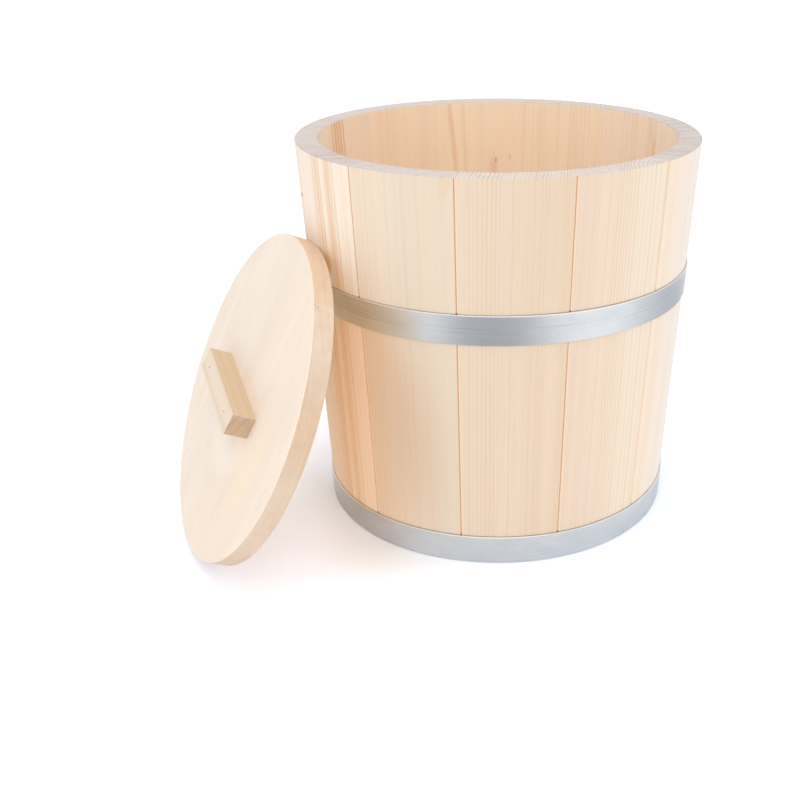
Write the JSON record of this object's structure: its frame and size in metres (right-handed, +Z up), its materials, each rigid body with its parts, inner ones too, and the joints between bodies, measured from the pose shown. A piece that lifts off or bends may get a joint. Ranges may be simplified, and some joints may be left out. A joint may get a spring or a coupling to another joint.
{
  "type": "wooden firkin with a loose lid",
  "caption": "Small coopered softwood tub with tapered staves, two riveted steel hoops and a let-in bottom; a round pressing lid with a bar handle leans on its side.",
  "frame": {"origin": "centre of the ring of stave feet, on the floor and on the firkin's axis", "axes": "+Z up the firkin's axis; the lid stands on the floor on the -X side and leans towards +X on the wall, so X is the longest way across the set"},
  "size_m": [0.3833, 0.28, 0.27],
  "materials": {
    "stave_wood": "planed spruce, unfinished",
    "bottom_wood": "planed spruce, unfinished",
    "dowel_wood": "turned beech",
    "lid_wood": "sanded pale hardwood, unfinished",
    "handle_wood": "planed pale hardwood, unfinished",
    "hoop_steel": "galvanised, satin",
    "rivet_steel": "galvanised",
    "brad_steel": "dull wire"
  },
  "bodies": {
    "firkin": {"stave_01": "stave_wood", "stave_02": "stave_wood", "stave_03": "stave_wood", "stave_04": "stave_wood", "stave_05": "stave_wood", "stave_06": "stave_wood", "stave_07": "stave_wood", "stave_08": "stave_wood", "stave_09": "stave_wood", "stave_10": "stave_wood", "stave_11": "stave_wood", "stave_12": "stave_wood", "bottom_board_1": "bottom_wood", "bottom_board_2": "bottom_wood", "bottom_board_3": "bottom_wood", "bottom_dowels": "dowel_wood", "lower_hoop": "hoop_steel", "lower_hoop_rivets": "rivet_steel", "upper_hoop": "hoop_steel", "upper_hoop_rivets": "rivet_steel"},
    "lid": {"lid_board_1": "lid_wood", "lid_board_2": "lid_wood", "lid_board_3": "lid_wood", "lid_handle": "handle_wood", "handle_brads": "brad_steel"}
  },
  "joints": [
    {"name": "lid_tip", "type": "hinge", "parent": "firkin", "child": "lid", "pos_m": [-0.23123, -0.0097, 0], "axis": [0, -1, 0], "range_deg": [0, 24.3]}
  ]
}
